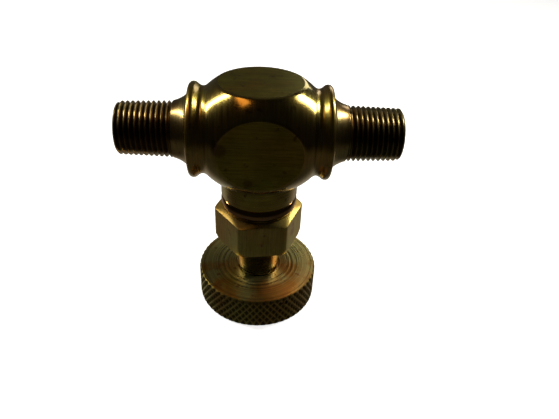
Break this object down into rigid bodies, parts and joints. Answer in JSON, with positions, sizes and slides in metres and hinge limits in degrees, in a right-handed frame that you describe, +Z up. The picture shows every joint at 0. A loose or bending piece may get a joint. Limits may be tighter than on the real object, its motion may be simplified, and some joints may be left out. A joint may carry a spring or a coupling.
{
  "type": "needle valve",
  "caption": "Small brass inline needle valve with male taper-threaded ends, a flatted ball body, hexagon bonnet and knurled hand knob.",
  "frame": {"origin": "centre of the knob's underside, on the spindle axis, on the surface that the valve stands on", "axes": "+Z up along the spindle axis from the knob to the pipe; +X along the pipe axis, from the inlet end towards the outlet end"},
  "size_m": [0.0502, 0.0244, 0.0475],
  "materials": {
    "body_brass": "machined brass, tarnished to olive, fine tool marks on the flats",
    "ring_brass": "turned soft brass",
    "bonnet_brass": "drawn hexagon brass, satin",
    "inner_brass": "turned brass",
    "packing": "white PTFE",
    "spindle_brass": "polished turned brass",
    "knob_brass": "faced and diamond-knurled brass",
    "screw_steel": "zinc-plated steel"
  },
  "bodies": {
    "valve": {"valve_body": "body_brass", "joint_ring": "ring_brass", "bonnet": "bonnet_brass", "packing_washer": "inner_brass", "packing_ring_inner": "packing", "packing_ring_middle": "packing", "packing_ring_outer": "packing", "gland_follower": "inner_brass", "gland_screw": "inner_brass"},
    "lift": {"spindle": "spindle_brass"},
    "hand_knob": {"knob": "knob_brass", "knob_washer": "screw_steel", "knob_screw": "screw_steel"}
  },
  "joints": [
    {"name": "spindle_lift", "type": "slide", "parent": "valve", "child": "lift", "axis": [0, 0, -1], "range_m": [0, 0.0032]},
    {"name": "knob_turn", "type": "hinge", "parent": "lift", "child": "hand_knob", "pos_m": [0, 0, 0.0034], "axis": [0, 0, -1], "range_deg": [0, 1440]}
  ],
  "couplings": [
    {"joint": "knob_turn", "follows": "spindle_lift", "rad_per_m": 7854}
  ]
}
